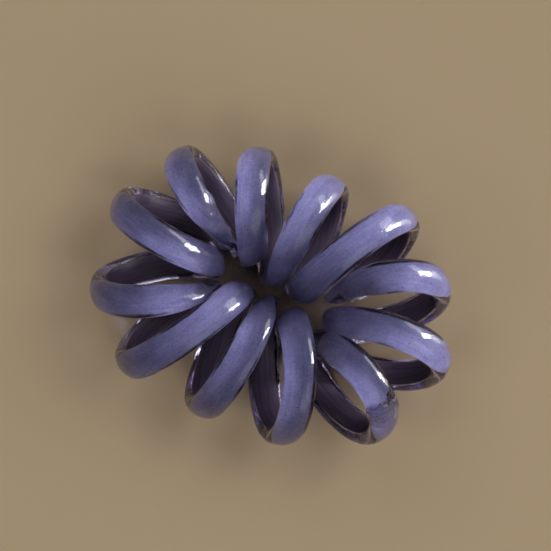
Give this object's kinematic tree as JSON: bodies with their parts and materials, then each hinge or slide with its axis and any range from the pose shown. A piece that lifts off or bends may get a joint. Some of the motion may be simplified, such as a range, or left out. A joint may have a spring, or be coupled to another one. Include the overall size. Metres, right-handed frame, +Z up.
{
  "type": "spiral hair tie",
  "caption": "Closed coil of thick clear plastic cord with a coloured stripe inside its turns, lying flat; it stretches round a bunch of hair.",
  "frame": {"origin": "middle of the coil's bounding box, at the surface that the coil lies on", "axes": "+X along the coil's length, +Y along its width, +Z up, out of the surface that it lies on"},
  "size_m": [0.0548, 0.0454, 0.0197],
  "materials": {
    "clear_core": "clear soft thermoplastic polyurethane, smooth and glossy",
    "coloured_stripe": "opaque periwinkle polyurethane stripe, seen through the clear cord, with a dark maroon face into the turn",
    "weld": "clear melted lump, glossy with a rough seam"
  },
  "bodies": {
    "root": {"core_turn_01": "clear_core", "core_turn_02": "clear_core", "core_turn_03": "clear_core", "core_turn_04": "clear_core", "core_turn_05": "clear_core", "core_turn_06": "clear_core", "core_turn_07": "clear_core", "core_turn_08": "clear_core", "core_turn_09": "clear_core", "core_turn_10": "clear_core", "core_turn_11": "clear_core", "core_turn_12": "clear_core", "stripe_turn_01": "coloured_stripe", "stripe_turn_02": "coloured_stripe", "stripe_turn_03": "coloured_stripe", "stripe_turn_04": "coloured_stripe", "stripe_turn_05": "coloured_stripe", "stripe_turn_06": "coloured_stripe", "stripe_turn_07": "coloured_stripe", "stripe_turn_08": "coloured_stripe", "stripe_turn_09": "coloured_stripe", "stripe_turn_10": "coloured_stripe", "stripe_turn_11": "coloured_stripe", "stripe_turn_12": "coloured_stripe", "weld": "weld"}
  },
  "joints": []
}
